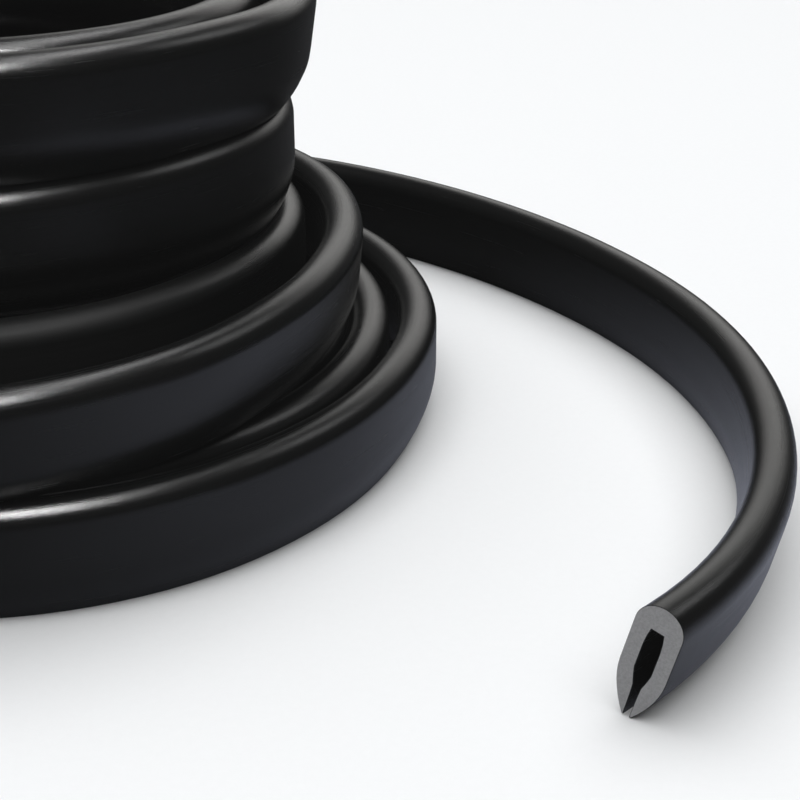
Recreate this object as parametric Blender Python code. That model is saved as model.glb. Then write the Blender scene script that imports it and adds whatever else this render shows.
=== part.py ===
"""Edge trim seal: a flexible rubber U section, stored as a stacked coil with one loose tail.

Metres, +Z up. The coil's axis is vertical, and every turn stands on its two legs with its
rounded crown up. The tail leaves the lowest, outermost turn, loops once round the back of
the coil and ends in a square cut that leans outwards. The origin is on the floor, under the
middle of the whole object's box.

The coil is one turned solid: its outline follows the turns that show on the outside, on
the top, underneath and in the bore.
"""

import math

import bmesh
import bpy
from mathutils import Vector

# Section of the trim
TRIM_HEIGHT = 0.0130
TRIM_WIDTH = 0.0047
FLARE_HEIGHT = 0.0056  # the legs draw in below this height
FLARE_MIDDLE = 0.45  # share of the flare's height at which its outline has a point
FLARE_SWELL = 0.9  # fullness of the flare: 1 follows a sine, less is fuller
LEG_TIP = 0.00047  # half width of the two closed legs at the floor
SLOT_TOP = 0.0103
SLOT_TOP_HALF = 0.00062
BELLY_HALF = 0.00084  # the slot's widest stretch, between the next two heights
BELLY_TOP = 0.0086
BELLY_FOOT = 0.0056
THROAT_HALF = 0.00039
THROAT_TOP = 0.0036
MOUTH_HALF = 0.00030

# Coil: centre line radius of each layer's outermost turn, and its number of turns, floor up
LAYERS = ((0.0493, 5), (0.0403, 3), (0.0320, 2), (0.0354, 2))
TURN_GAP = 0.0003
NOTCH_TOP = 0.0048  # how far the groove between two turns reaches up between their legs

# Tail: its angle on the coil where it leaves, its length, and how much wider than the coil's
# outermost turn it bends, at equal steps from its root to its cut end
TAIL_START_ANGLE = 246.85
TAIL_LENGTH = 0.3491
TAIL_EASE = (0.0208, 0.0149, 0.0058, 0.0071, 0.0091, 0.0184, 0.056, 0.063, 0.0211, 0.0203, 0.002)
TAIL_ROOT_SINK = 0.00012  # the tail's root is this much smaller than the turn it grows from
TAIL_ROOT_LIFT = 0.00006  # how far the root's feet stay above those of that turn
TAIL_ROOT_LENGTH = 0.030
LEAN_ANGLE = 15.3  # how far the cut end leans outwards
LEAN_LENGTH = 0.124

# Fineness
RING_STEPS = 36
TAIL_STEPS = 40
PATH_SUBSTEPS = 20  # steps that the tail's path is worked out in, between two stations
CROWN_STEPS = 4  # over the half circle of a crown
SHARP_ANGLE = 50.0

HALF_WIDTH = TRIM_WIDTH / 2
SHOULDER = TRIM_HEIGHT - HALF_WIDTH
TURN_PITCH = TRIM_WIDTH + TURN_GAP


def half_width(height):
    """Half width of the section's outside at a height between the floor and the shoulder."""
    if height >= FLARE_HEIGHT:
        return HALF_WIDTH
    swell = math.sin(math.pi / 2 * height / FLARE_HEIGHT) ** FLARE_SWELL
    return LEG_TIP + (HALF_WIDTH - LEG_TIP) * swell


def flank_heights():
    """Heights at which a leg's outside has a point, floor up."""
    return [0.0, FLARE_HEIGHT * FLARE_MIDDLE, FLARE_HEIGHT]


def crown(steps):
    """The half circle over a section, from its right shoulder to its left one."""
    points = []
    for step in range(steps + 1):
        angle = math.pi * step / steps
        points.append((HALF_WIDTH * math.cos(angle), SHOULDER + HALF_WIDTH * math.sin(angle)))
    return points


def slot_side():
    """The slot's right wall, from its mouth to its flat top."""
    return [
        (MOUTH_HALF, 0.0),
        (THROAT_HALF, THROAT_TOP),
        (BELLY_HALF, BELLY_FOOT),
        (BELLY_HALF, BELLY_TOP),
        (SLOT_TOP_HALF, SLOT_TOP),
    ]


def trim_section():
    """The whole U section as one closed outline, counter-clockwise."""
    right = [(half_width(height), height) for height in flank_heights()]
    left = [(-across, height) for across, height in reversed(right)]
    slot_left = [(-across, height) for across, height in slot_side()]
    slot_right = list(reversed(slot_side()))
    return right + crown(2 * CROWN_STEPS) + left + slot_left + slot_right


def turns(layer):
    """Centre line radii of a layer's turns, from the outermost to the innermost."""
    outermost, count = LAYERS[layer]
    return [outermost - index * TURN_PITCH for index in range(count)]


def underside():
    """The coil's underneath from the bore outwards: leg tips, slots and the grooves between turns."""
    points = []
    for radius in reversed(turns(0)):
        points += [
            (radius - LEG_TIP, 0.0),
            (radius - MOUTH_HALF, 0.0),
            (radius - SLOT_TOP_HALF, SLOT_TOP),
            (radius + SLOT_TOP_HALF, SLOT_TOP),
            (radius + MOUTH_HALF, 0.0),
            (radius + LEG_TIP, 0.0),
            (radius + TURN_PITCH / 2, NOTCH_TOP),
        ]
    return points[:-1]


def outer_steps(layer):
    """A layer's outside: up its outermost turn, then inwards over the crowns that show."""
    base = layer * TRIM_HEIGHT
    radii = turns(layer)
    points = [(radii[0] + half_width(height), base + height) for height in flank_heights()[1:]]
    over = [(radius + x, base + z) for radius in radii for x, z in crown(CROWN_STEPS)]
    if layer == len(LAYERS) - 1:
        return points + over
    top = base + TRIM_HEIGHT
    inner_foot, outer_foot = (turns(layer + 1)[0] + side for side in (-LEG_TIP, LEG_TIP))
    points.append(over[0])
    if inner_foot > radii[0] + HALF_WIDTH:
        return points + [over[1], (inner_foot, top), (outer_foot, top)]
    for radius, height in over[1:]:
        if radius < outer_foot + TURN_GAP:
            break
        points.append((radius, height))
    return points + [(outer_foot, top)]


def bore_steps(layer):
    """A layer's bore side, down its innermost turn and over the crown of the layer below it."""
    base = layer * TRIM_HEIGHT
    radius = turns(layer)[-1]
    points = [(radius - half_width(height), base + height) for height in reversed(flank_heights())]
    if layer == 0:
        return points[:-1]
    below = turns(layer - 1)[-1]
    over = [(below + x, base - TRIM_HEIGHT + z) for x, z in crown(CROWN_STEPS)]
    if below - HALF_WIDTH > radius + LEG_TIP:
        return points + [(radius + LEG_TIP, base)] + over[-2:]
    return points + [point for point in over[1:-1] if point[0] < radius - LEG_TIP] + over[-1:]


def coil_outline():
    """The turned outline of the whole coil, counter-clockwise in (radius, height)."""
    points = underside()
    for layer in range(len(LAYERS)):
        points += outer_steps(layer)
    for layer in reversed(range(len(LAYERS))):
        points += bore_steps(layer)
    return points


def tail_bend(distance):
    """Curvature of the tail's path at a distance from its root."""
    spot = distance / TAIL_LENGTH * (len(TAIL_EASE) - 1)
    knot = int(spot)
    before, after = (1 / (LAYERS[0][0] + ease) for ease in TAIL_EASE[knot : knot + 2])
    return before + (after - before) * (spot - knot)


def tail_path():
    """The tail's centre line on the floor: (place, heading, distance) at each station."""
    angle = math.radians(TAIL_START_ANGLE)
    place = Vector((LAYERS[0][0] * math.cos(angle), LAYERS[0][0] * math.sin(angle)))
    heading = angle - math.pi / 2
    step = TAIL_LENGTH / (TAIL_STEPS * PATH_SUBSTEPS)
    stations = [(place.copy(), heading, 0.0)]
    for index in range(TAIL_STEPS * PATH_SUBSTEPS):
        along = (index + 0.5) * step
        bend = tail_bend(along)
        middle = heading - bend * step / 2
        place += Vector((math.cos(middle), math.sin(middle))) * step
        heading -= bend * step
        if (index + 1) % PATH_SUBSTEPS == 0:
            stations.append((place.copy(), heading, along + step / 2))
    return stations


def lean_at(distance):
    """Outward lean of the tail, which grows towards the cut end."""
    reach = max(0.0, distance - (TAIL_LENGTH - LEAN_LENGTH)) / LEAN_LENGTH
    return math.radians(LEAN_ANGLE) * reach**2


def tail_ring(place, heading, distance):
    """The section placed at one station of the tail, standing on the floor."""
    root = max(0.0, 1 - distance / TAIL_ROOT_LENGTH)
    shrink = 1 - root * TAIL_ROOT_SINK / HALF_WIDTH
    lean = lean_at(distance)
    outward = Vector((-math.sin(heading), math.cos(heading)))
    ring = []
    for across, height in trim_section():
        across, height = across * shrink, height * shrink + root * TAIL_ROOT_LIFT
        out = across * math.cos(lean) + height * math.sin(lean)
        up = height * math.cos(lean) - across * math.sin(lean)
        ring.append((place.x + outward.x * out, place.y + outward.y * out, up))
    lowest = min(point[2] for point in ring) if root == 0 else 0.0
    return [(x, y, z - lowest) for x, y, z in ring]


def coil_rings():
    """The coil's outline at each step round its axis."""
    rings = []
    for step in range(RING_STEPS):
        angle = 2 * math.pi * step / RING_STEPS
        rings.append([(r * math.cos(angle), r * math.sin(angle), z) for r, z in coil_outline()])
    return rings


def skin(name, rings, closed):
    """A closed mesh object through a row of equal rings, joined up or capped at its two ends."""
    mesh = bpy.data.meshes.new(name)
    shape = bmesh.new()
    rows = [[shape.verts.new(point) for point in ring] for ring in rings]
    count = len(rows[0])
    for index in range(len(rows) if closed else len(rows) - 1):
        near, far = rows[index], rows[(index + 1) % len(rows)]
        for side in range(count):
            after = (side + 1) % count
            shape.faces.new((near[side], near[after], far[after], far[side]))
    if not closed:
        shape.faces.new(list(reversed(rows[0])))
        shape.faces.new(rows[-1])
    bmesh.ops.recalc_face_normals(shape, faces=shape.faces)
    shape.to_mesh(mesh)
    shape.free()
    made = bpy.data.objects.new(name, mesh)
    bpy.context.scene.collection.objects.link(made)
    return made


def centre_on_floor(objects):
    """Shift the meshes so that the origin is under the middle of their common box."""
    points = [vertex.co for item in objects for vertex in item.data.vertices]
    shift = [-(min(p[axis] for p in points) + max(p[axis] for p in points)) / 2 for axis in (0, 1)]
    for item in objects:
        for vertex in item.data.vertices:
            vertex.co.x += shift[0]
            vertex.co.y += shift[1]


def rubber():
    """Black satin rubber."""
    material = bpy.data.materials.new("black_rubber")
    material.use_nodes = True
    shader = material.node_tree.nodes["Principled BSDF"]
    shader.inputs["Base Color"].default_value = (0.012, 0.012, 0.013, 1)
    shader.inputs["Roughness"].default_value = 0.38
    shader.inputs["Metallic"].default_value = 0.0
    return material


def build():
    """Make the coil, then join the tail to it as one piece."""
    for item in list(bpy.data.objects):
        bpy.data.objects.remove(item, do_unlink=True)
    coil = skin("edge_trim", coil_rings(), closed=True)
    tail = skin("tail_shape", [tail_ring(*station) for station in tail_path()], closed=False)
    centre_on_floor([coil, tail])
    coil.data.materials.append(rubber())
    tail.hide_render = True
    tail.display_type = "WIRE"
    join = coil.modifiers.new("join_tail", "BOOLEAN")
    join.operation = "UNION"
    join.object = tail
    coil.data.shade_smooth()
    coil.data.set_sharp_from_angle(angle=math.radians(SHARP_ANGLE))


build()
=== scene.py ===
"""Looks of the edge trim seal: three metres of black rubber trim, wound as a stacked coil.

The strip is one piece. Its U section is swept along the way the trim lies: from its hidden
first end, down through four layers, out over the last loose turn and round to the cut end.
"""

import logging
import math
from dataclasses import dataclass, field
from enum import Enum

import bmesh
import bpy
import numpy as np
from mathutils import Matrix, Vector


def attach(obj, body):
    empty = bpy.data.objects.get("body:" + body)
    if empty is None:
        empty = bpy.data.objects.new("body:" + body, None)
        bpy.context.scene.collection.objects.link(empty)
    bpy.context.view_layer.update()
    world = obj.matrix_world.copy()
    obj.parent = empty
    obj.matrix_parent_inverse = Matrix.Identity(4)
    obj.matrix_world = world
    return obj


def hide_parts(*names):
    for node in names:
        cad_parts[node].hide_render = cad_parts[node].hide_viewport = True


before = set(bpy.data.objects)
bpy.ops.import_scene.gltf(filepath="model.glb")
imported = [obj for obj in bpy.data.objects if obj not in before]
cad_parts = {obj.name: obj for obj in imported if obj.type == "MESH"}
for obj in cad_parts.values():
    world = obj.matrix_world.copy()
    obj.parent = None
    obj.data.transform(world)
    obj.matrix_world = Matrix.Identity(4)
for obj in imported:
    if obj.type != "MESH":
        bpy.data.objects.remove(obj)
log = logging.getLogger("edge_trim")

CAD_NODE = "edge_trim"
BODY = "root"
PHOTO_SIZE = 800
QUAD_CORNERS = 4  # a face with more corners is one of the two cut faces


class Attribute(Enum):
    """Names of the values that the strip's mesh carries over its surface."""

    ALONG = "along"
    AROUND = "around"
    LEAN = "lean"
    HOLD = "hold"
    DULL = "dull"
    SWELL = "swell"


def smooth_through(places: np.ndarray, values: np.ndarray, at: np.ndarray) -> np.ndarray:
    """Curve through the given values that never overshoots them.

    Args:
        places: Increasing places of the known values.
        values: The known values.
        at: Places at which the curve is read.

    Returns:
        The curve's value at each place of `at`.
    """
    gaps = np.diff(places)
    rises = np.diff(values) / gaps
    slopes = np.zeros(len(values))
    before, after = rises[:-1], rises[1:]
    same_way = before * after > 0
    mean = 2 * before * after / np.where(same_way, before + after, 1.0)
    slopes[1:-1] = np.where(same_way, mean, 0.0)
    slopes[0], slopes[-1] = rises[0], rises[-1]
    index = np.clip(np.searchsorted(places, at) - 1, 0, len(gaps) - 1)
    gap = gaps[index]
    t = (at - places[index]) / gap
    left, right = values[index], values[index + 1]
    return (
        (2 * t**3 - 3 * t**2 + 1) * left
        + (t**3 - 2 * t**2 + t) * gap * slopes[index]
        + (3 * t**2 - 2 * t**3) * right
        + (t**3 - t**2) * gap * slopes[index + 1]
    )


@dataclass(frozen=True)
class TrimSection:
    """The U section of the trim, standing on the tips of its two closed legs."""

    height: float = 0.0130
    width: float = 0.0047
    flare_height: float = 0.0056
    leg_tip: float = 0.00047
    slot_top: float = 0.0103
    slot_top_half: float = 0.00062
    belly_top: float = 0.0086
    belly_foot: float = 0.0056
    belly_half: float = 0.00084
    throat_top: float = 0.0036
    throat_half: float = 0.00039
    mouth_half: float = 0.00030
    swell: float = 0.9
    crown_steps: int = 20
    flank_steps: int = 7
    slot_steps: int = 11

    @property
    def half(self) -> float:
        """Half of the trim's width."""
        return self.width / 2

    @property
    def shoulder(self) -> float:
        """Height at which the crown's half circle starts."""
        return self.height - self.half

    def half_width(self, height: float) -> float:
        """Half width of the outside.

        Args:
            height: Height above the leg tips.

        Returns:
            The distance from the middle plane to the skin.
        """
        rise = min(height / self.flare_height, 1.0)
        return self.leg_tip + (self.half - self.leg_tip) * math.sin(math.pi / 2 * rise) ** self.swell

    def flank(self) -> list[tuple[float, float]]:
        """One leg's outside, from its tip to the top of its flare."""
        steps = [self.flare_height * step / self.flank_steps for step in range(self.flank_steps + 1)]
        return [(self.half_width(height), height) for height in steps]

    def crown(self) -> list[tuple[float, float]]:
        """The half circle from the right shoulder to the left one."""
        angles = [math.pi * step / self.crown_steps for step in range(self.crown_steps + 1)]
        return [
            (self.half * math.cos(angle), self.shoulder + self.half * math.sin(angle))
            for angle in angles
        ]

    def slot_wall(self) -> list[tuple[float, float]]:
        """The slot's right wall.

        Returns:
            Points from the middle of the slot's flat top down to its mouth.
        """
        heights = np.array([0.0, self.throat_top, self.belly_foot, self.belly_top, self.slot_top])
        halves = np.array(
            [self.mouth_half, self.throat_half, self.belly_half, self.belly_half, self.slot_top_half]
        )
        at = np.linspace(self.slot_top, 0.0, self.slot_steps + 1)
        return [(0.0, self.slot_top)] + list(zip(smooth_through(heights, halves, at), at))

    def outline(self) -> list[tuple[float, float]]:
        """The whole section as one closed outline.

        Returns:
            Points from the middle of the slot's top round the right leg, the crown and the left leg.
        """
        right = self.slot_wall() + self.flank()
        left = [(-across, height) for across, height in reversed(right[1:])]
        return right + self.crown() + left


@dataclass(frozen=True)
class Lap:
    """One lap of the strip round the coil, from back right over the front to back left.

    The radii, the outward leans in degrees and the shares of dull skin stand at equal steps
    over the settled part of the lap. The strip then crosses over to the next lap at the back,
    which it passes at a radius of its own, clear of the laps beside it.
    """

    layer: int
    passing: float
    radii: tuple[float, ...]
    leans: tuple[float, ...] = (0.0,)
    dull: tuple[float, ...] = (0.0,)

    def settled(self, values: tuple[float, ...], at: np.ndarray) -> np.ndarray:
        """Read one of the rows of values.

        Args:
            values: The row, or a single value for the whole lap.
            at: Shares of the settled part, from 0 to 1.

        Returns:
            The value at each share.
        """
        if len(values) == 1:
            return np.full(len(at), values[0])
        return smooth_through(np.linspace(0.0, 1.0, len(values)), np.array(values), at)


@dataclass(frozen=True)
class LooseTurn:
    """The last turn, which leaves the coil at the front left and loops round its back."""

    start_angle: float = 246.85
    length: float = 0.3491
    ease: tuple[float, ...] = (
        0.0208, 0.0149, 0.0058, 0.0071, 0.0091, 0.0184, 0.056, 0.063, 0.0211, 0.0203, 0.002,
    )
    lean_angle: float = 13.2
    lean_length: float = 0.095
    step: float = 0.0005

    def lean(self, distance: np.ndarray) -> np.ndarray:
        """Outward lean of the strip in radians at distances from the loose turn's root."""
        reach = np.clip((distance - self.length + self.lean_length) / self.lean_length, 0.0, 1.0)
        return math.radians(self.lean_angle) * np.sin(math.pi / 2 * reach) ** 2

    def route(self, radius: float) -> tuple[np.ndarray, np.ndarray]:
        """The centre line on the floor, about the coil's axis.

        Args:
            radius: Centre line radius of the turn that it leaves.

        Returns:
            Places, one row each, and their distances from the root.
        """
        count = round(self.length / self.step)
        step = self.length / count
        middle = (np.arange(count) + 0.5) * step
        knots = np.linspace(0.0, self.length, len(self.ease))
        bend = np.interp(middle, knots, 1 / (radius + np.array(self.ease)))
        start = math.radians(self.start_angle)
        heading = start - math.pi / 2 - np.concatenate([[0.0], np.cumsum(bend)]) * step
        half_way = (heading[:-1] + heading[1:]) / 2
        moves = np.column_stack([np.cos(half_way), np.sin(half_way)]) * step
        root = radius * np.array([[math.cos(start), math.sin(start)]])
        places = np.vstack([root, root + np.cumsum(moves, axis=0)])
        return places, np.arange(count + 1) * step


@dataclass
class CoilWay:
    """The way the whole strip lies: its laps from the top layer down, then the loose turn.

    A lap is settled from the back right over the front to the back left. Behind, it shifts to
    its passing radius and then comes down to the next lap's layer. All angles are in degrees.
    """

    section: TrimSection
    axis: tuple[float, float] = (-0.01430, -0.00069)
    strip_length: float = 3.0
    laps: tuple[Lap, ...] = (
        Lap(
            3, 0.0310, (0.0338, 0.0338, 0.0336, 0.0329, 0.0315, 0.0330, 0.0318),
            leans=(10.0, 10.0, 9.0, 7.0, 4.0, 2.0, 2.0),
        ),
        Lap(3, 0.0262, (0.0294, 0.0290, 0.0276, 0.0266, 0.0272)),
        Lap(2, 0.0320, (0.0271,)),
        Lap(2, 0.0412, (0.0320, 0.0320, 0.0320, 0.0319, 0.0316, 0.0334, 0.0343)),
        Lap(
            1, 0.0359, (0.0390, 0.0388, 0.0387, 0.0399, 0.0439, 0.0491, 0.0506),
            leans=(0.0, 1.0, 4.0, 6.0, 8.0, 12.0, 13.0),
        ),
        Lap(
            1, 0.0311, (0.0333, 0.0331, 0.0330, 0.0331, 0.0337, 0.0358, 0.0372),
            dull=(0.0, 0.0, 0.0, 0.0, 0.4, 1.0, 1.0),
        ),
        Lap(1, 0.0263, (0.0283,)),
        Lap(0, 0.0333, (0.0285,)),
        Lap(0, 0.0382, (0.0333,)),
        Lap(0, 0.0429, (0.0382,)),
        Lap(0, 0.0480, (0.0429, 0.0429, 0.0434, 0.0443, 0.0445)),
        Lap(0, 0.0493, (0.0493, 0.0493, 0.0490, 0.0497, 0.0493)),
    )
    settled_from: float = 80.0
    settled_sweep: float = 190.0
    shift_sweep: float = 60.0
    landed_sweep: float = 330.0
    lead_in: float = 168.0
    lead_in_radius: float = 0.0364
    lead_in_bend: float = 30.0
    settled_points: int = 9
    loose_turn: LooseTurn = field(default_factory=LooseTurn)
    stations: int = 1150
    fine_step: float = 0.25
    setback: float = 0.0002
    draw_in: float = 0.9986
    swollen_length: float = 0.0011
    swollen_stations: int = 6
    swelling: float = 0.035

    def knots(self) -> np.ndarray:
        """The known places of the coiled part.

        Returns:
            Rows of turned angle, radius, height of the feet, outward lean and dullness.
        """
        first = self.laps[0]
        rise = self.section.height
        rows = [
            (-turned, self.lead_in_radius, first.layer * rise, first.leans[0], 0.0)
            for turned in (self.lead_in, self.lead_in_bend)
        ]
        shares = np.linspace(0.0, 1.0, self.settled_points)
        for number, lap in enumerate(self.laps):
            start = 360.0 * number
            settled = (lap.settled(values, shares) for values in (lap.radii, lap.leans, lap.dull))
            for share, radius, lean, dull in zip(shares, *settled):
                rows.append((start + self.settled_sweep * share, radius, lap.layer * rise, lean, dull))
            if number + 1 < len(self.laps):
                following = self.laps[number + 1]
                lean = following.leans[0]
                shifted = start + self.settled_sweep + self.shift_sweep
                rows.append((shifted, lap.passing, lap.layer * rise, lean, 0.0))
                landed = start + self.landed_sweep
                rows.append((landed, lap.passing, following.layer * rise, lean, 0.0))
        return np.array(rows)

    def coiled_points(self) -> tuple[np.ndarray, np.ndarray, np.ndarray]:
        """Finely spaced places over all the laps.

        Returns:
            Places of the feet about the coil's axis, with the outward lean in radians and the
            dullness at each.
        """
        turned, radii, levels, leans, dulls = self.knots().T
        last = turned[-1] - self.settled_sweep
        stop = last + (self.settled_from + 360.0 - self.loose_turn.start_angle)
        at = np.arange(turned[0], stop, self.fine_step)
        at = np.append(at, stop)
        radius = smooth_through(turned, radii, at)
        lean = np.radians(smooth_through(turned, leans, at))
        level = smooth_through(turned, levels, at)
        angle = np.radians(self.settled_from - at)
        places = np.column_stack([radius * np.cos(angle), radius * np.sin(angle), level])
        return places, lean, smooth_through(turned, dulls, at)

    def centre_line(self) -> dict[str, np.ndarray]:
        """Evenly spaced stations of the strip.

        Returns:
            `place` with the feet's places in the frame, and one value for each station of
            `along`, `lean`, `hold` (how firmly the coil holds the strip), `dull` and `swell`.
        """
        coiled, coiled_lean, coiled_dull = self.coiled_points()
        loose, distance = self.loose_turn.route(float(np.hypot(*coiled[-1][:2])))
        lean = self.loose_turn.lean(distance)
        lift = self.section.leg_tip * np.sin(lean)
        points = np.vstack([coiled, np.column_stack([loose, lift])[1:]])
        leans = np.concatenate([coiled_lean, lean[1:]])
        hold = np.concatenate([np.ones(len(coiled)), np.zeros(len(loose) - 1)])
        dull = np.concatenate([coiled_dull, np.zeros(len(loose) - 1)])
        steps = np.linalg.norm(np.diff(points, axis=0), axis=1)
        run = np.concatenate([[0.0], np.cumsum(steps)])
        spare = run[-1] - self.strip_length
        log.info("coil: %.3f m laid out, %.3f m trimmed off its first end", run[-1], spare)
        end = run[-1] - self.setback
        swollen = end - self.swollen_length * np.linspace(1.0, 0.0, self.swollen_stations)
        at = np.append(np.linspace(spare, swollen[0], self.stations)[:-1], swollen)
        near_end = np.clip((at - swollen[0]) / self.swollen_length, 0.0, 1.0)
        place = np.column_stack([np.interp(at, run, points[:, axis]) for axis in range(3)])
        place[:, :2] = (place[:, :2] + np.array(self.axis)) * self.draw_in
        return {
            "place": place,
            Attribute.ALONG.value: at - spare,
            Attribute.LEAN.value: -np.interp(at, run, leans),
            Attribute.HOLD.value: np.interp(at, run, hold),
            Attribute.DULL.value: np.interp(at, run, dull),
            Attribute.SWELL.value: 1.0 + self.swelling * near_end**2,
        }


def add_socket(tree: bpy.types.NodeTree, name: str, kind: str, way: str) -> str:
    """Add one named socket to a node group.

    Args:
        tree: The group.
        name: The socket's name.
        kind: Blender's socket type.
        way: INPUT or OUTPUT.

    Returns:
        The socket's identifier.
    """
    return tree.interface.new_socket(name, in_out=way, socket_type=kind).identifier


@dataclass(frozen=True)
class NodeBench:
    """Short ways to add and join nodes in one tree."""

    tree: bpy.types.NodeTree

    def add(self, kind: str, **settings: object) -> bpy.types.Node:
        """Add a node.

        Args:
            kind: Type of the node.
            settings: Its properties.

        Returns:
            The node.
        """
        made = self.tree.nodes.new(kind)
        for key, value in settings.items():
            setattr(made, key, value)
        return made

    def join(self, source: bpy.types.NodeSocket, target: bpy.types.NodeSocket) -> None:
        """Join two sockets."""
        self.tree.links.new(source, target)

    def give(self, target: bpy.types.NodeSocket, value: object) -> None:
        """Feed an input.

        Args:
            target: The input.
            value: A socket to join to it, or its plain value.
        """
        if isinstance(value, bpy.types.NodeSocket):
            self.join(value, target)
        else:
            target.default_value = value

    def math(self, operation: str, first: object, second: object = None) -> bpy.types.NodeSocket:
        """Add a Math node.

        Args:
            operation: What it works out.
            first: A socket or a number.
            second: A socket or a number.

        Returns:
            Its output.
        """
        made = self.add("ShaderNodeMath", operation=operation)
        self.give(made.inputs[0], first)
        if second is not None:
            self.give(made.inputs[1], second)
        return made.outputs[0]

    def stretched(
        self, vector: bpy.types.NodeSocket, scale: tuple[float, float, float]
    ) -> bpy.types.NodeSocket:
        """Scale a vector.

        Args:
            vector: The vector's socket.
            scale: One factor for each axis.

        Returns:
            The scaled vector.
        """
        made = self.add("ShaderNodeVectorMath", operation="MULTIPLY")
        self.join(vector, made.inputs[0])
        made.inputs[1].default_value = scale
        return made.outputs[0]

    def noise(
        self, vector: bpy.types.NodeSocket, detail: float, roughness: float = 0.5
    ) -> bpy.types.NodeSocket:
        """Add a noise of scale one.

        Args:
            vector: Where it is read, in the noise's own units.
            detail: How many finer noises are added to it.
            roughness: How strong those are.

        Returns:
            The noise's value.
        """
        made = self.add("ShaderNodeTexNoise")
        self.join(vector, made.inputs["Vector"])
        made.inputs["Scale"].default_value = 1.0
        made.inputs["Detail"].default_value = detail
        made.inputs["Roughness"].default_value = roughness
        return made.outputs[0]

    def bump(
        self, shader: bpy.types.Node, height: bpy.types.NodeSocket, strength: float, distance: float
    ) -> None:
        """Give a shader fine relief.

        Args:
            shader: The Principled BSDF.
            height: The relief's height, from 0 to 1.
            strength: How much of it shows.
            distance: Its height in metres.
        """
        made = self.add("ShaderNodeBump")
        made.inputs["Strength"].default_value = strength
        made.inputs["Distance"].default_value = distance
        self.join(height, made.inputs["Height"])
        self.join(made.outputs["Normal"], shader.inputs["Normal"])

    def spread(
        self, value: bpy.types.NodeSocket, low: float, high: float, to_low: object, to_high: object
    ) -> bpy.types.NodeSocket:
        """Map a range of values to another one, clamped.

        Args:
            value: The value's socket.
            low: Start of the range read.
            high: End of the range read.
            to_low: Result at the start, a number or a socket.
            to_high: Result at the end, a number or a socket.

        Returns:
            The result's socket.
        """
        made = self.add("ShaderNodeMapRange")
        self.join(value, made.inputs["Value"])
        made.inputs["From Min"].default_value = low
        made.inputs["From Max"].default_value = high
        self.give(made.inputs["To Min"], to_low)
        self.give(made.inputs["To Max"], to_high)
        return made.outputs[0]


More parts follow.
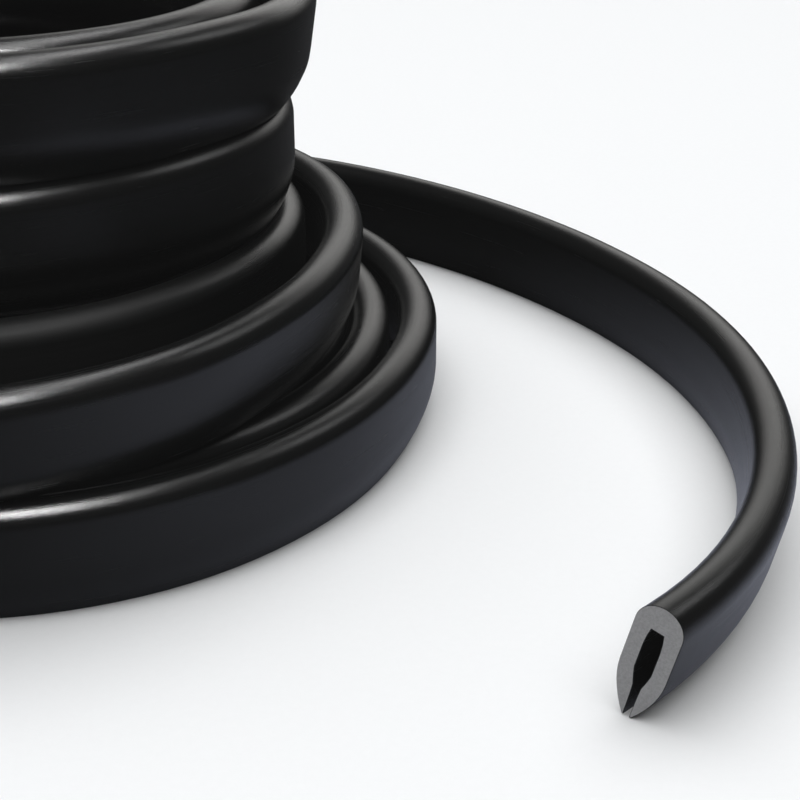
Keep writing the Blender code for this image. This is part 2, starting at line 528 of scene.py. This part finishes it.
@dataclass
class SweepTree:
    """Geometry Nodes tree that sweeps the section along the strip's way."""

    name: str = "sweep_trim"
    inputs: dict[str, str] = field(default_factory=dict)
    bench: NodeBench = field(init=False)

    def __post_init__(self) -> None:
        """Start the tree."""
        self.bench = NodeBench(bpy.data.node_groups.new(self.name, "GeometryNodeTree"))

    def read(self, attribute: Attribute) -> bpy.types.NodeSocket:
        """Read one of the strip's own values.

        Args:
            attribute: The value's name.

        Returns:
            The output that gives it.
        """
        made = self.bench.add("GeometryNodeInputNamedAttribute", data_type="FLOAT")
        made.inputs["Name"].default_value = attribute.value
        return made.outputs["Attribute"]

    def step(
        self, kind: str, shape: bpy.types.NodeSocket, given: dict[str, object] | None = None,
        **settings: object,
    ) -> bpy.types.NodeSocket:
        """Add a node that changes a shape.

        Args:
            kind: Type of the node.
            shape: The shape that goes in.
            given: Sockets or values of its other inputs, by name.
            settings: Its properties.

        Returns:
            The shape that comes out.
        """
        made = self.bench.add(kind, **settings)
        self.bench.join(shape, made.inputs[0])
        for name, value in (given or {}).items():
            self.bench.give(made.inputs[name], value)
        return made.outputs[0]

    def sway(self, entry: bpy.types.Node) -> bpy.types.NodeSocket:
        """Sideways offset of the way: slow noise along the strip, where the coil holds it.

        Args:
            entry: The group's input node.

        Returns:
            The offset's vector socket.
        """
        bench = self.bench
        place = bench.add("ShaderNodeCombineXYZ")
        along = bench.math("DIVIDE", self.read(Attribute.ALONG), entry.outputs["Sway Length"])
        bench.join(along, place.inputs[0])
        bench.join(entry.outputs["Seed"], place.inputs[1])
        noise = bench.add("ShaderNodeTexNoise", noise_dimensions="2D")
        bench.join(place.outputs[0], noise.inputs["Vector"])
        noise.inputs["Scale"].default_value = 1.0
        noise.inputs["Detail"].default_value = 1.0
        centred = bench.spread(noise.outputs[0], 0.0, 1.0, -1.0, 1.0)
        held = bench.math("MULTIPLY", centred, self.read(Attribute.HOLD))
        offset = bench.add("ShaderNodeVectorMath", operation="SCALE")
        bench.join(bench.add("GeometryNodeInputNormal").outputs["Normal"], offset.inputs[0])
        bench.join(bench.math("MULTIPLY", held, entry.outputs["Sway"]), offset.inputs["Scale"])
        return offset.outputs[0]

    def sized_section(self, entry: bpy.types.Node) -> bpy.types.NodeSocket:
        """The section's outline at its real size.

        Args:
            entry: The group's input node.

        Returns:
            The outline as a curve.
        """
        outline = self.bench.add("GeometryNodeObjectInfo")
        self.bench.join(entry.outputs["Section"], outline.inputs["Object"])
        scale = self.bench.add("ShaderNodeCombineXYZ")
        for axis in scale.inputs:
            self.bench.join(entry.outputs["Trim Height"], axis)
        given = {"Scale": scale.outputs[0]}
        sized = self.step("GeometryNodeTransform", outline.outputs["Geometry"], given)
        return self.step("GeometryNodeMeshToCurve", sized)

    def cut_faces(self) -> bpy.types.NodeSocket:
        """Choose the two cut faces by their many corners.

        Returns:
            The choice's socket.
        """
        many = self.bench.add("FunctionNodeCompare", data_type="INT", operation="GREATER_THAN")
        sides = self.bench.add("GeometryNodeInputMeshFaceNeighbors")
        self.bench.join(sides.outputs["Vertex Count"], many.inputs[2])
        many.inputs[3].default_value = QUAD_CORNERS
        return many.outputs["Result"]

    def build(self) -> bpy.types.NodeTree:
        """Fill the tree.

        Returns:
            The tree, whose inputs' identifiers are in `inputs`.
        """
        tree = self.bench.tree
        add_socket(tree, "Way", "NodeSocketGeometry", "INPUT")
        for name, kind in (
            ("Section", "NodeSocketObject"),
            ("Trim Height", "NodeSocketFloat"),
            ("Sway", "NodeSocketFloat"),
            ("Sway Length", "NodeSocketFloat"),
            ("Seed", "NodeSocketInt"),
            ("Skin", "NodeSocketMaterial"),
            ("Cut", "NodeSocketMaterial"),
        ):
            self.inputs[name] = add_socket(tree, name, kind, "INPUT")
        add_socket(tree, "Trim", "NodeSocketGeometry", "OUTPUT")
        entry = self.bench.add("NodeGroupInput")
        way = self.step("GeometryNodeMeshToCurve", entry.outputs["Way"])
        way = self.step("GeometryNodeSetCurveNormal", way, mode="Z_UP")
        way = self.step("GeometryNodeSetPosition", way, {"Offset": self.sway(entry)})
        way = self.step("GeometryNodeSetCurveTilt", way, {"Tilt": self.read(Attribute.LEAN)})
        way = self.step("GeometryNodeSetCurveRadius", way, {"Radius": self.read(Attribute.SWELL)})
        swept = {"Profile Curve": self.sized_section(entry), "Fill Caps": True}
        trim = self.step("GeometryNodeCurveToMesh", way, swept)
        trim = self.step("GeometryNodeRealizeInstances", trim)
        trim = self.step("GeometryNodeSetMaterial", trim, {"Material": entry.outputs["Skin"]})
        cut = {"Selection": self.cut_faces(), "Material": entry.outputs["Cut"]}
        trim = self.step("GeometryNodeSetMaterial", trim, cut)
        self.bench.join(trim, self.bench.add("NodeGroupOutput").inputs["Trim"])
        return tree


def wire_object(name: str, points: list[tuple[float, float, float]], closed: bool) -> bpy.types.Object:
    """Make a mesh object of a row of edges.

    Args:
        name: Name of the object and its mesh.
        points: The row's corners.
        closed: Whether the last corner joins the first.

    Returns:
        The object, linked to the scene.
    """
    mesh = bpy.data.meshes.new(name)
    edges = [(index, index + 1) for index in range(len(points) - 1)]
    if closed:
        edges.append((len(points) - 1, 0))
    mesh.from_pydata(points, edges, [])
    made = bpy.data.objects.new(name, mesh)
    bpy.context.scene.collection.objects.link(made)
    return made


def store(mesh: bpy.types.Mesh, attribute: Attribute, values: np.ndarray) -> None:
    """Keep one value for each corner of a mesh.

    Args:
        mesh: The mesh.
        attribute: The value's name.
        values: One number for each corner.
    """
    layer = mesh.attributes.new(attribute.value, "FLOAT", "POINT")
    layer.data.foreach_set("value", np.ascontiguousarray(values, dtype=np.float32))


@dataclass
class TrimStrip:
    """The whole strip: its section, its way and its two finishes."""

    section: TrimSection
    way: CoilWay
    name: str = "edge_trim_strip"
    sway: float = 0.00012
    sway_length: float = 0.045
    seed: int = 3
    cut_skew: float = 0.20
    skew_reach: float = 0.004
    travel_stations: int = 3
    cut_rounding: float = 0.00005
    sharp_angle: float = 34.0

    def section_wire(self) -> bpy.types.Object:
        """Draw the section's outline in units of the trim's height, crown towards minus Y.

        Returns:
            The outline, with each corner's distance round it.
        """
        height = self.section.height
        outline = [(across / height, -up / height, 0.0) for across, up in self.section.outline()]
        outline.reverse()
        made = wire_object("section_wire", outline, closed=True)
        corners = np.array(outline)[:, :2]
        steps = np.linalg.norm(np.diff(corners, axis=0), axis=1)
        around = np.concatenate([[0.0], np.cumsum(steps)]) * height
        store(made.data, Attribute.AROUND, around)
        return made

    def way_wire(self, line: dict[str, np.ndarray]) -> bpy.types.Object:
        """Draw the strip's centre line.

        Args:
            line: The centre line's stations.

        Returns:
            The line, with its values at each station.
        """
        made = wire_object(self.name, [tuple(row) for row in line["place"]], closed=False)
        for attribute in Attribute:
            if attribute.value in line:
                store(made.data, attribute, line[attribute.value])
        return made

    def skew_cut(self, mesh: bpy.types.Mesh, line: dict[str, np.ndarray]) -> None:
        """Turn the shown cut a little off square, as the knife left it.

        Args:
            mesh: The swept strip.
            line: The centre line's stations.
        """
        end = line["place"][-1]
        travel = (end - line["place"][-1 - self.travel_stations]) * (1.0, 1.0, 0.0)
        travel /= np.linalg.norm(travel)
        outward = np.array([-travel[1], travel[0], 0.0])
        points = np.empty(len(mesh.vertices) * 3, dtype=np.float32)
        mesh.vertices.foreach_get("co", points)
        points = points.reshape(-1, 3)
        along = np.empty(len(points), dtype=np.float32)
        mesh.attributes[Attribute.ALONG.value].data.foreach_get("value", along)
        to_cut = line[Attribute.ALONG.value][-1] - along
        near = np.clip(1.0 - to_cut / self.skew_reach, 0.0, 1.0) ** 2
        shift = -self.cut_skew * near * ((points - end) @ outward)
        points = points + np.outer(shift, travel)
        mesh.vertices.foreach_set("co", np.ascontiguousarray(points, dtype=np.float32).ravel())

    def round_cuts(self, mesh: bpy.types.Mesh) -> None:
        """Take the knife edge off the two cut faces.

        Args:
            mesh: The swept strip.
        """
        shape = bmesh.new()
        shape.from_mesh(mesh)
        cuts = [face for face in shape.faces if len(face.verts) > QUAD_CORNERS]
        rims = {edge for face in cuts for edge in face.edges}
        bmesh.ops.bevel(
            shape, geom=sorted(rims, key=lambda edge: edge.index), offset=self.cut_rounding,
            segments=2, affect="EDGES", clamp_overlap=True, material=0,
        )
        shape.to_mesh(mesh)
        shape.free()

    def build(self, skin: bpy.types.Material, cut: bpy.types.Material) -> bpy.types.Object:
        """Sweep the strip and make it a plain mesh.

        Args:
            skin: Finish of the extruded outside and of the slot.
            cut: Finish of the two cut faces.

        Returns:
            The finished piece.
        """
        line = self.way.centre_line()
        wire = self.way_wire(line)
        outline = self.section_wire()
        sweep = SweepTree()
        modifier = wire.modifiers.new("sweep", "NODES")
        modifier.node_group = sweep.build()
        for name, value in (
            ("Section", outline),
            ("Trim Height", self.section.height),
            ("Sway", self.sway),
            ("Sway Length", self.sway_length),
            ("Seed", self.seed),
            ("Skin", skin),
            ("Cut", cut),
        ):
            modifier[sweep.inputs[name]] = value
        graph = bpy.context.evaluated_depsgraph_get()
        mesh = bpy.data.meshes.new_from_object(wire.evaluated_get(graph))
        wire.modifiers.remove(modifier)
        bpy.data.objects.remove(outline)
        old = wire.data
        wire.data = mesh
        bpy.data.meshes.remove(old)
        mesh.name = self.name
        self.skew_cut(mesh, line)
        self.round_cuts(mesh)
        mesh.shade_smooth()
        mesh.set_sharp_from_angle(angle=math.radians(self.sharp_angle))
        return wire


class Effects:
    """Shader groups that more than one finish uses."""

    coarse_share: float = 0.65
    fine_share: float = 0.35
    fineness: float = 4.0

    def __init__(self) -> None:
        """Build each group once."""
        self.grain = self.build_grain()
        self.specks = self.build_specks()

    @staticmethod
    def start(name: str, *inputs: str) -> tuple[NodeBench, bpy.types.Node]:
        """Open a group with a vector and some numbers as its inputs.

        Args:
            name: Name of the group.
            inputs: Each number's name.

        Returns:
            A bench on the group, and the group's input node.
        """
        tree = bpy.data.node_groups.new(name, "ShaderNodeTree")
        add_socket(tree, "Vector", "NodeSocketVector", "INPUT")
        for key in inputs:
            add_socket(tree, key, "NodeSocketFloat", "INPUT")
        bench = NodeBench(tree)
        return bench, bench.add("NodeGroupInput")

    @staticmethod
    def close(bench: NodeBench, outputs: dict[str, bpy.types.NodeSocket]) -> bpy.types.NodeTree:
        """Give a group its outputs.

        Args:
            bench: The bench on the group.
            outputs: Each output's name and what feeds it.

        Returns:
            The finished group.
        """
        for key in outputs:
            add_socket(bench.tree, key, "NodeSocketFloat", "OUTPUT")
        leave = bench.add("NodeGroupOutput")
        for key, source in outputs.items():
            bench.join(source, leave.inputs[key])
        return bench.tree

    def build_grain(self) -> bpy.types.NodeTree:
        """Make the fine grain of rubber or paper: two noises, one finer than the other.

        Returns:
            The group.
        """
        bench, entry = self.start("fine_grain", "Size", "Contrast")
        scaled = bench.add("ShaderNodeVectorMath", operation="SCALE")
        bench.join(entry.outputs["Vector"], scaled.inputs[0])
        bench.join(bench.math("DIVIDE", 1.0, entry.outputs["Size"]), scaled.inputs["Scale"])
        coarse = bench.noise(scaled.outputs[0], detail=2.0)
        finer = bench.stretched(scaled.outputs[0], (self.fineness,) * 3)
        fine = bench.noise(finer, detail=1.0)
        coarse = bench.math("MULTIPLY", coarse, self.coarse_share)
        fine = bench.math("MULTIPLY", fine, self.fine_share)
        centred = bench.math("SUBTRACT", bench.math("ADD", coarse, fine), 0.5)
        value = bench.math("MULTIPLY", centred, entry.outputs["Contrast"])
        return self.close(bench, {"Grain": value})

    def build_specks(self) -> bpy.types.NodeTree:
        """Make sparse small spots, such as dust on rubber or crumbs in a cut.

        Returns:
            The group.
        """
        bench, entry = self.start("sparse_specks", "Cell", "Share", "Spot")
        scaled = bench.add("ShaderNodeVectorMath", operation="SCALE")
        bench.join(entry.outputs["Vector"], scaled.inputs[0])
        bench.join(bench.math("DIVIDE", 1.0, entry.outputs["Cell"]), scaled.inputs["Scale"])
        cells = bench.add("ShaderNodeTexVoronoi")
        cells.inputs["Scale"].default_value = 1.0
        bench.join(scaled.outputs[0], cells.inputs["Vector"])
        apart = bench.add("ShaderNodeSeparateColor")
        bench.join(cells.outputs["Color"], apart.inputs[0])
        chosen = bench.math("LESS_THAN", apart.outputs[0], entry.outputs["Share"])
        reach = bench.math("MULTIPLY", entry.outputs["Spot"], apart.outputs[1])
        inside = bench.math("LESS_THAN", cells.outputs["Distance"], reach)
        return self.close(bench, {"Speck": bench.math("MULTIPLY", chosen, inside)})

    def place(
        self, bench: NodeBench, group: bpy.types.NodeTree, vector: bpy.types.NodeSocket,
        values: dict[str, float],
    ) -> bpy.types.NodeSocket:
        """Use a group in a material.

        Args:
            bench: The bench on the material.
            group: The group.
            vector: Where on the surface it is read.
            values: The group's numbers in this material.

        Returns:
            The group's output.
        """
        made = bench.add("ShaderNodeGroup", node_tree=group)
        bench.join(vector, made.inputs["Vector"])
        for key, value in values.items():
            made.inputs[key].default_value = value
        return made.outputs[0]


def open_material(name: str) -> tuple[bpy.types.Material, NodeBench, bpy.types.Node]:
    """Start a material.

    Args:
        name: Name of the material.

    Returns:
        The material, a bench on its tree, and its Principled BSDF.
    """
    material = bpy.data.materials.new(name)
    material.use_nodes = True
    bench = NodeBench(material.node_tree)
    return material, bench, material.node_tree.nodes["Principled BSDF"]


def mix_colours(
    bench: NodeBench, share: bpy.types.NodeSocket, low: tuple[float, ...], high: tuple[float, ...]
) -> bpy.types.NodeSocket:
    """Blend between two colours.

    Args:
        bench: The bench on the material.
        share: How much of the second colour shows.
        low: The first colour.
        high: The second colour.

    Returns:
        The blended colour.
    """
    made = bench.add("ShaderNodeMix", data_type="RGBA")
    bench.join(share, made.inputs[0])
    made.inputs[6].default_value = (*low, 1.0)
    made.inputs[7].default_value = (*high, 1.0)
    return made.outputs[2]


@dataclass(frozen=True)
class SkinFinish:
    """Black satin skin of the extruded trim, with its lengthwise lines, scuffs and dust.

    A faint glow of its own stands for the stray light that lifts the photo's deepest blacks.
    """

    colour: tuple[float, float, float] = (0.0030, 0.0033, 0.0032)
    dusty: tuple[float, float, float] = (0.030, 0.030, 0.031)
    specular: float = 0.35
    dull_specular: float = 0.10
    smooth: float = 0.19
    rough: float = 0.34
    dulling: float = 0.35
    stray_light: float = 0.0036
    line_width: float = 0.00022
    line_length: float = 0.060
    line_bump: float = 0.015
    dimple: float = 0.0011
    dimple_stretch: float = 6.0
    dimple_bump: float = 0.5
    scuff_length: float = 0.018
    scuff_width: float = 0.0009
    scuff_range: tuple[float, float] = (0.60, 0.78)
    scuff_dust: float = 0.06
    scuff_wear: float = 0.5
    wear_start: float = 0.3
    grain_size: float = 0.00016
    grain_bump: float = 0.70
    dust_cell: float = 0.0028
    dust_share: float = 0.16
    dust_spot: float = 0.05
    dust_strength: float = 0.8
    bump_strength: float = 0.5
    bump_distance: float = 0.00006

    def surface_place(self, bench: NodeBench) -> bpy.types.NodeSocket:
        """Find the place on the skin.

        Args:
            bench: The bench on the material.

        Returns:
            Metres along the strip and metres round its section, as a vector.
        """
        along = bench.add("ShaderNodeAttribute", attribute_name=Attribute.ALONG.value)
        around = bench.add("ShaderNodeAttribute", attribute_name=Attribute.AROUND.value)
        made = bench.add("ShaderNodeCombineXYZ")
        bench.join(along.outputs["Fac"], made.inputs[0])
        bench.join(around.outputs["Fac"], made.inputs[1])
        return made.outputs[0]

    def material(self, effects: Effects) -> bpy.types.Material:
        """Make the finish.

        Args:
            effects: The shared shader groups.

        Returns:
            The material.
        """
        material, bench, shader = open_material("black_rubber_skin")
        place = self.surface_place(bench)
        line_scale = (1 / self.line_length, 1 / self.line_width, 0.0)
        lines = bench.noise(bench.stretched(place, line_scale), detail=3.0, roughness=0.6)
        dimple_scale = (1 / (self.dimple_stretch * self.dimple), 1 / self.dimple, 0.0)
        dimples = bench.noise(bench.stretched(place, dimple_scale), detail=2.0)
        scuff_scale = (1 / self.scuff_length, 1 / self.scuff_width, 0.0)
        scuffs = bench.noise(bench.stretched(place, scuff_scale), detail=4.0, roughness=0.7)
        scuffed = bench.spread(scuffs, *self.scuff_range, 0.0, 1.0)
        sizes = {"Size": self.grain_size, "Contrast": 1.0}
        grain = effects.place(bench, effects.grain, place, sizes)
        sizes = {"Cell": self.dust_cell, "Share": self.dust_share, "Spot": self.dust_spot}
        dust = effects.place(bench, effects.specks, place, sizes)
        dust = bench.math("MULTIPLY", dust, self.dust_strength)
        shown = bench.math("ADD", bench.math("MULTIPLY", scuffed, self.scuff_dust), dust)
        bench.join(mix_colours(bench, shown, self.colour, self.dusty), shader.inputs["Base Color"])
        worn = bench.math("ADD", lines, bench.math("MULTIPLY", scuffed, self.scuff_wear))
        roughness = bench.spread(worn, self.wear_start, 1.0, self.smooth, self.rough)
        dull = bench.add("ShaderNodeAttribute", attribute_name=Attribute.DULL.value).outputs["Fac"]
        roughness = bench.math("ADD", roughness, bench.math("MULTIPLY", dull, self.dulling))
        bench.join(roughness, shader.inputs["Roughness"])
        height = bench.math("MULTIPLY", lines, self.line_bump)
        height = bench.math("ADD", height, bench.math("MULTIPLY", dimples, self.dimple_bump))
        height = bench.math("ADD", height, bench.math("MULTIPLY", grain, self.grain_bump))
        bench.bump(shader, height, self.bump_strength, self.bump_distance)
        shader.inputs["Specular IOR Level"].default_value = self.specular
        gloss = bench.spread(dull, 0.0, 1.0, self.specular, self.dull_specular)
        bench.join(gloss, shader.inputs["Specular IOR Level"])
        shader.inputs["Emission Color"].default_value = (1.0, 1.0, 1.0, 1.0)
        shader.inputs["Emission Strength"].default_value = self.stray_light
        return material


@dataclass(frozen=True)
class CutFinish:
    """Matt grey face where the knife went through the rubber."""

    colour: tuple[float, float, float] = (0.31, 0.31, 0.316)
    dark: tuple[float, float, float] = (0.24, 0.24, 0.246)
    roughness: float = 0.85
    specular: float = 0.25
    grain_size: float = 0.00026
    grain_contrast: float = 3.2
    crumb_cell: float = 0.0006
    crumb_share: float = 0.35
    crumb_spot: float = 0.18
    crumb_shade: float = 0.35
    middle_shade: float = 0.4
    bump_strength: float = 0.5
    bump_distance: float = 0.00008

    def material(self, effects: Effects) -> bpy.types.Material:
        """Make the finish.

        Args:
            effects: The shared shader groups.

        Returns:
            The material.
        """
        material, bench, shader = open_material("black_rubber_cut")
        place = bench.add("ShaderNodeTexCoord").outputs["Object"]
        sizes = {"Size": self.grain_size, "Contrast": self.grain_contrast}
        grain = effects.place(bench, effects.grain, place, sizes)
        sizes = {"Cell": self.crumb_cell, "Share": self.crumb_share, "Spot": self.crumb_spot}
        crumbs = effects.place(bench, effects.specks, place, sizes)
        crumbs = bench.math("MULTIPLY", crumbs, self.crumb_shade)
        share = bench.math("ADD", bench.math("ADD", grain, self.middle_shade), crumbs)
        bench.join(mix_colours(bench, share, self.colour, self.dark), shader.inputs["Base Color"])
        bench.bump(shader, grain, self.bump_strength, self.bump_distance)
        shader.inputs["Roughness"].default_value = self.roughness
        shader.inputs["Specular IOR Level"].default_value = self.specular
        return material


@dataclass(frozen=True)
class FloorFinish:
    """Pale matt paper that the coil stands on; its gloss colour is a painted pool of light and painted
    shade.
    """

    colour: tuple[float, float, float] = (0.80, 0.81, 0.82)
    shade: tuple[float, float, float] = (0.77, 0.78, 0.79)
    # painted reflection: a painted pool of light about pool, fading to painted shade by far, seen only
    # in gloss
    painted_light_near: tuple[float, float, float] = (0.385, 0.405, 0.485)
    painted_shade_far: tuple[float, float, float] = (0.03, 0.031, 0.034)
    pool: tuple[float, float, float] = (0.056, -0.044, 0.0)
    near: float = 0.025
    far: float = 0.082
    roughness: float = 0.95
    specular: float = 0.1
    grain_size: float = 0.0009

    def painted_gloss_pool(self, bench: NodeBench, place: bpy.types.NodeSocket) -> bpy.types.NodeSocket:
        """Paint the floor's gloss colour: a painted pool of light with painted shade round it.

        Args:
            bench: The bench on the material.
            place: The place on the floor.

        Returns:
            The colour's socket.
        """
        away = bench.add("ShaderNodeVectorMath", operation="DISTANCE")
        bench.join(place, away.inputs[0])
        away.inputs[1].default_value = self.pool
        share = bench.spread(away.outputs["Value"], self.near, self.far, 0.0, 1.0)
        return mix_colours(bench, share, self.painted_light_near, self.painted_shade_far)

    def material(self, effects: Effects) -> bpy.types.Material:
        """Make the finish.

        Args:
            effects: The shared shader groups.

        Returns:
            The material.
        """
        material, bench, shader = open_material("pale_paper")
        place = bench.add("ShaderNodeTexCoord").outputs["Object"]
        sizes = {"Size": self.grain_size, "Contrast": 1.0}
        grain = effects.place(bench, effects.grain, place, sizes)
        share = bench.math("ADD", grain, 0.5)
        seen = mix_colours(bench, share, self.colour, self.shade)
        shown = bench.add("ShaderNodeMix", data_type="RGBA")
        # glossy rays see the painted pool of light and painted shade, the eye sees the plain paper
        bench.join(bench.add("ShaderNodeLightPath").outputs["Is Glossy Ray"], shown.inputs[0])
        bench.join(seen, shown.inputs[6])
        bench.join(self.painted_gloss_pool(bench, place), shown.inputs[7])
        bench.join(shown.outputs[2], shader.inputs["Base Color"])
        shader.inputs["Roughness"].default_value = self.roughness
        shader.inputs["Specular IOR Level"].default_value = self.specular
        return material


@dataclass(frozen=True)
class Softbox:
    """One area light: where it stands, where it points and how large and bright it is."""

    name: str
    place: tuple[float, float, float]
    target: tuple[float, float, float]
    size: tuple[float, float]
    power: float
    colour: tuple[float, float, float] = (1.0, 1.0, 1.0)
    gloss_only: bool = True
    feather: float = 0.9

    def soften(self, data: bpy.types.Light) -> None:
        """Let the light fade towards its edges.

        Args:
            data: The area light.
        """
        data.use_nodes = True
        bench = NodeBench(data.node_tree)
        apart = bench.add("ShaderNodeSeparateXYZ")
        bench.join(bench.add("ShaderNodeNewGeometry").outputs["Parametric"], apart.inputs[0])
        fades = []
        for axis in (0, 1):
            off_middle = bench.math("ABSOLUTE", bench.math("SUBTRACT", apart.outputs[axis], 0.5))
            fade = bench.spread(off_middle, 0.5 * (1.0 - self.feather), 0.5, 1.0, 0.0)
            fade.node.interpolation_type = "SMOOTHSTEP"
            fades.append(fade)
        glow = data.node_tree.nodes["Emission"]
        bench.join(bench.math("MULTIPLY", *fades), glow.inputs["Strength"])

    def build(self) -> bpy.types.Object:
        """Make the light.

        Returns:
            The light's object.
        """
        data = bpy.data.lights.new(self.name, "AREA")
        data.shape = "RECTANGLE"
        data.size, data.size_y = self.size
        data.energy = self.power
        data.color = self.colour
        if self.feather > 0.0:
            self.soften(data)
        lamp = bpy.data.objects.new(self.name, data)
        bpy.context.scene.collection.objects.link(lamp)
        lamp.location = self.place
        aim = [target - here for here, target in zip(self.place, self.target)]
        lamp.rotation_euler = Vector(aim).to_track_quat("-Z", "Y").to_euler()
        lamp.visible_glossy = self.gloss_only
        lamp.visible_diffuse = not self.gloss_only
        return lamp


@dataclass
class Studio:
    """Pale floor, soft lights and the camera."""

    floor_size: float = 6.0
    nearest_seen: float = 0.001
    camera_place: tuple[float, float, float] = (0.03255, -0.17652, 0.08724)
    camera_pitch: float = 26.51
    focal_pixels: float = 1530.2
    sensor: float = 36.0
    backdrop: tuple[float, float, float] = (0.86, 0.87, 0.88)
    ambient: float = 0.07
    lights: tuple[Softbox, ...] = (
        Softbox(
            "overhead_fill", (0.0, 0.0, 1.2), (0.0, 0.0, 0.0), (2.0, 2.0), 31.0,
            gloss_only=False, feather=0.0,
        ),
        Softbox(
            "back_softbox", (0.24, 0.82, 0.42), (0.0, 0.0, 0.02), (1.5, 0.80), 6.8,
            colour=(1.0, 0.99, 0.965),
        ),
        Softbox("top_strip", (0.10, 0.10, 0.85), (0.10, 0.02, 0.0), (0.24, 1.6), 16.0),
        Softbox("front_strip", (0.0, -0.42, 0.72), (0.0, -0.05, 0.0), (0.11, 0.46), 48.0),
        Softbox("side_softbox", (0.64, 0.22, 0.66), (0.0, 0.0, 0.03), (0.26, 0.40), 2.6),
    )

    def build_floor(self, finish: bpy.types.Material) -> bpy.types.Object:
        """Make the floor.

        Args:
            finish: Its material.

        Returns:
            The floor.
        """
        mesh = bpy.data.meshes.new("floor")
        shape = bmesh.new()
        bmesh.ops.create_grid(shape, x_segments=4, y_segments=4, size=self.floor_size / 2)
        shape.to_mesh(mesh)
        shape.free()
        floor = bpy.data.objects.new("floor", mesh)
        bpy.context.scene.collection.objects.link(floor)
        mesh.materials.append(finish)
        return floor

    def build_camera(self) -> bpy.types.Object:
        """Make the camera at the photo's viewing angle.

        Returns:
            The camera, set as the scene's own.
        """
        data = bpy.data.cameras.new("camera")
        data.sensor_width = self.sensor
        data.lens = self.focal_pixels / PHOTO_SIZE * self.sensor
        data.clip_start = self.nearest_seen
        camera = bpy.data.objects.new("camera", data)
        bpy.context.scene.collection.objects.link(camera)
        camera.location = self.camera_place
        camera.rotation_euler = (math.radians(90.0 - self.camera_pitch), 0.0, 0.0)
        bpy.context.scene.camera = camera
        return camera

    def build_world(self) -> None:
        """Pale backdrop for the eye, dim surroundings for light and gloss."""
        world = bpy.data.worlds.new("studio")
        world.use_nodes = True
        bench = NodeBench(world.node_tree)
        backdrop = world.node_tree.nodes["Background"]
        leave = world.node_tree.nodes["World Output"]
        backdrop.inputs["Color"].default_value = (*self.backdrop, 1.0)
        dim = bench.add("ShaderNodeBackground")
        dim.inputs["Color"].default_value = (1.0, 1.0, 1.0, 1.0)
        dim.inputs["Strength"].default_value = self.ambient
        seen = bench.add("ShaderNodeLightPath").outputs["Is Camera Ray"]
        mixed = bench.add("ShaderNodeMixShader")
        bench.join(seen, mixed.inputs[0])
        bench.join(dim.outputs[0], mixed.inputs[1])
        bench.join(backdrop.outputs[0], mixed.inputs[2])
        bench.join(mixed.outputs[0], leave.inputs["Surface"])
        bpy.context.scene.world = world

    def build(self, effects: Effects) -> None:
        """Make everything round the object.

        Args:
            effects: The shared shader groups.
        """
        self.build_floor(FloorFinish().material(effects))
        self.build_camera()
        self.build_world()
        for light in self.lights:
            light.build()
        bpy.context.scene.view_settings.view_transform = "Standard"


def main() -> None:
    """Build the strip and the studio, hide the CAD trim and hang the strip on its body."""
    logging.basicConfig(level=logging.INFO, format="%(name)s: %(message)s")
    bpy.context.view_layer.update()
    effects = Effects()
    section = TrimSection()
    strip = TrimStrip(section, CoilWay(section))
    piece = strip.build(SkinFinish().material(effects), CutFinish().material(effects))
    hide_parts(CAD_NODE)
    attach(piece, BODY)
    triangles = sum(len(face.vertices) - 2 for face in piece.data.polygons)
    log.info("%s: %d triangles, %.3f m of trim", piece.name, triangles, strip.way.strip_length)
    Studio().build(effects)


if __name__ == "__main__":
    main()
